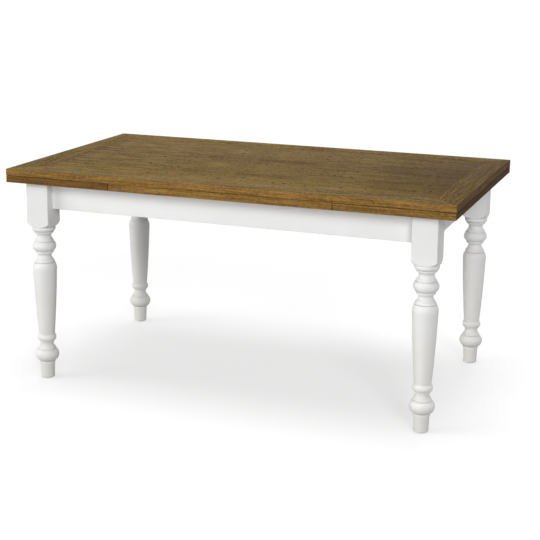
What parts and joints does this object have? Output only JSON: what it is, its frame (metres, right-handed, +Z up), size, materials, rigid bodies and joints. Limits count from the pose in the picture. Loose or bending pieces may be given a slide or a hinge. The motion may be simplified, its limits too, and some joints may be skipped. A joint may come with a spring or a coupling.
{
  "type": "extending draw-leaf dining table",
  "caption": "Extending dining table with a two-layer stained wood top, leaves that draw out from under its ends and rise level, and a white painted base on turned legs.",
  "frame": {"origin": "on the floor under the middle of the table top", "axes": "+X along the length, +Y from the front to the back, +Z up"},
  "size_m": [1.6, 0.9, 0.775],
  "materials": {
    "stained_wood": "satin stained and waxed",
    "white_paint": "satin white paint on wood",
    "bare_wood": "planed, unfinished",
    "zinc_steel": "zinc plated",
    "nylon": "matte moulded"
  },
  "bodies": {
    "frame": {"apron_back": "white_paint", "apron_front": "white_paint", "apron_left": "white_paint", "apron_right": "white_paint", "centre_board": "stained_wood", "corner_brace_back_left": "bare_wood", "corner_brace_back_right": "bare_wood", "corner_brace_front_left": "bare_wood", "corner_brace_front_right": "bare_wood", "cross_rail_left": "bare_wood", "cross_rail_right": "bare_wood", "foot_glides": "nylon", "hanger_bolts": "zinc_steel", "hanger_nuts": "zinc_steel", "hanger_washers": "zinc_steel", "leg_back_left": "white_paint", "leg_back_right": "white_paint", "leg_front_left": "white_paint", "leg_front_right": "white_paint", "pivot_block_left_back": "bare_wood", "pivot_block_left_front": "bare_wood", "pivot_block_right_back": "bare_wood", "pivot_block_right_front": "bare_wood", "pivot_pins": "zinc_steel", "top_band_left": "stained_wood", "top_band_right": "stained_wood", "top_field": "stained_wood", "top_rail_back": "stained_wood", "top_rail_front": "stained_wood", "top_screws": "zinc_steel"},
    "left_bearers": {"bearer_left_back": "bare_wood", "bearer_left_front": "bare_wood"},
    "right_bearers": {"bearer_right_back": "bare_wood", "bearer_right_front": "bare_wood"},
    "left_leaf": {"left_leaf_band": "stained_wood", "left_leaf_bracket_back": "zinc_steel", "left_leaf_bracket_front": "zinc_steel", "left_leaf_field": "stained_wood", "left_leaf_pins": "zinc_steel", "left_leaf_rail_back": "stained_wood", "left_leaf_rail_front": "stained_wood", "left_leaf_screws": "zinc_steel"},
    "right_leaf": {"right_leaf_band": "stained_wood", "right_leaf_bracket_back": "zinc_steel", "right_leaf_bracket_front": "zinc_steel", "right_leaf_field": "stained_wood", "right_leaf_pins": "zinc_steel", "right_leaf_rail_back": "stained_wood", "right_leaf_rail_front": "stained_wood", "right_leaf_screws": "zinc_steel"},
    "left_shoes": {"shoe_left_back": "nylon", "shoe_left_front": "nylon"},
    "right_shoes": {"shoe_right_back": "nylon", "shoe_right_front": "nylon"}
  },
  "joints": [
    {"name": "left_leaf_raise", "type": "hinge", "parent": "frame", "child": "left_shoes", "pos_m": [-0.4, 0, 0.705], "axis": [0, 1, 0], "range_deg": [0, 3.48]},
    {"name": "left_leaf_draw", "type": "slide", "parent": "left_shoes", "child": "left_bearers", "axis": [-1, 0, 0], "range_m": [0, 0.40144]},
    {"name": "left_leaf_level", "type": "hinge", "parent": "left_bearers", "child": "left_leaf", "pos_m": [-0.4, 0, 0.705], "axis": [0, 1, 0], "range_deg": [-3.48, 0]},
    {"name": "right_leaf_raise", "type": "hinge", "parent": "frame", "child": "right_shoes", "pos_m": [0.4, 0, 0.705], "axis": [0, -1, 0], "range_deg": [0, 3.48]},
    {"name": "right_leaf_draw", "type": "slide", "parent": "right_shoes", "child": "right_bearers", "axis": [1, 0, 0], "range_m": [0, 0.40144]},
    {"name": "right_leaf_level", "type": "hinge", "parent": "right_bearers", "child": "right_leaf", "pos_m": [0.4, 0, 0.705], "axis": [0, -1, 0], "range_deg": [-3.48, 0]}
  ],
  "couplings": [
    {"joint": "left_leaf_level", "follows": "left_leaf_raise", "ratio": -1},
    {"joint": "right_leaf_level", "follows": "right_leaf_raise", "ratio": -1}
  ]
}
